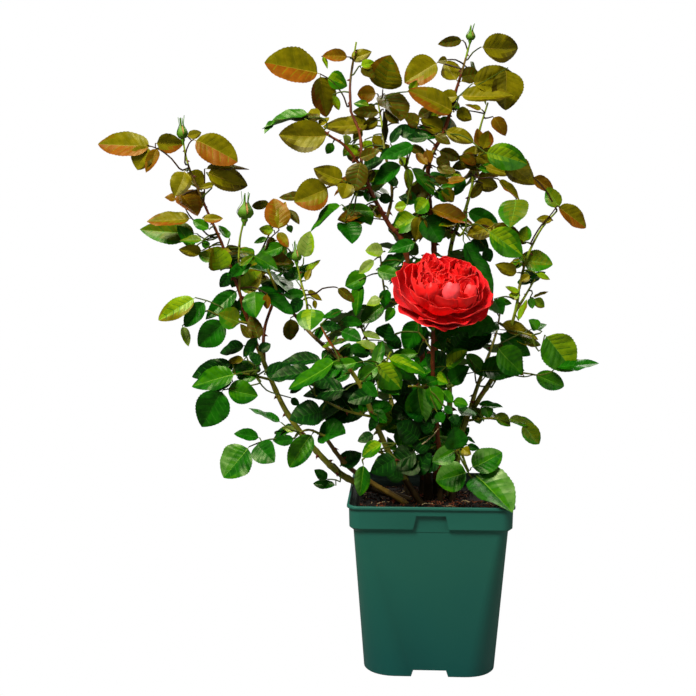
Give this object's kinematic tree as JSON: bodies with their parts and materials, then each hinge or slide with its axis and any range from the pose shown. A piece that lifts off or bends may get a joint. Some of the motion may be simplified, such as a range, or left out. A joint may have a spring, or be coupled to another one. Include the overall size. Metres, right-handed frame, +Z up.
{
  "type": "rose bush",
  "caption": "Bushy rose in a square nursery pot, with an open double bloom at the front, arching canes, thorny young shoots and glossy compound leaves all round.",
  "frame": {"origin": "middle of the pot's flat underside", "axes": "+Z up along the plant, -Y towards the viewer of the bloom, +X to the viewer's right"},
  "size_m": [0.5761, 0.2942, 0.7528],
  "materials": {
    "pot": "dark green moulded plastic, matte, slightly greyer at the lip",
    "soil": "moist dark bark compost with paler fibres",
    "cut_wood": "dry pruned end with reddish bark",
    "bark": "smooth green to reddish brown rind with thorns",
    "petals": "velvety red petals",
    "leaves_deep": "glossy deep green leaves",
    "leaves_mid": "satin green leaves",
    "leaves_bronze": "young olive leaves with bronze margins"
  },
  "bodies": {
    "root": {"pot": "pot", "soil": "soil", "graft_stub": "cut_wood", "bloom": "petals", "cane_left": "bark", "cane_left_low": "bark", "cane_centre_left": "bark", "cane_bloom": "bark", "cane_right": "bark", "cane_back_left": "bark", "cane_tall": "bark", "cane_back_right": "bark", "cane_rear_left": "bark", "cane_rear_mid": "bark", "cane_rear_right": "bark", "bough_left_fork": "bark", "bough_left_inner": "bark", "bough_thorny": "bark", "bough_upper_left": "bark", "bough_top_left": "bark", "bough_top_mid": "bark", "bough_right_top": "bark", "bough_right_shoot": "bark", "foliage_left_shoot": "leaves_bronze", "foliage_bud_shoot": "leaves_mid", "foliage_left_clump": "leaves_mid", "foliage_green_shoot": "leaves_mid", "foliage_left_tip": "leaves_deep", "foliage_left_low": "leaves_deep", "foliage_low_left": "leaves_deep", "foliage_low_rim": "leaves_deep", "foliage_centre_left": "leaves_deep", "foliage_red_shoot": "leaves_mid", "foliage_centre": "leaves_mid", "foliage_centre_front": "leaves_deep", "foliage_rim_left": "leaves_deep", "foliage_left_of_bloom": "leaves_deep", "foliage_top_left": "leaves_bronze", "foliage_top_left_high": "leaves_bronze", "foliage_top_mid": "leaves_mid", "foliage_upper_left_low": "leaves_bronze", "foliage_top": "leaves_bronze", "foliage_upper_centre": "leaves_mid", "foliage_behind_bloom": "leaves_mid", "foliage_top_right": "leaves_mid", "foliage_rear_top": "leaves_mid", "foliage_right_shoot": "leaves_mid", "foliage_right_sprig": "leaves_mid", "foliage_right_mid": "leaves_deep", "foliage_right_twig": "leaves_deep", "foliage_right_low": "leaves_deep", "foliage_front_right": "leaves_deep", "foliage_under_bloom": "leaves_deep", "foliage_core_left": "leaves_deep", "foliage_core_right": "leaves_deep", "foliage_rear_upper": "leaves_mid", "foliage_left_rear": "leaves_mid", "foliage_rear_left": "leaves_deep", "foliage_rear_mid": "leaves_deep", "foliage_rear_right": "leaves_deep"}
  },
  "joints": []
}
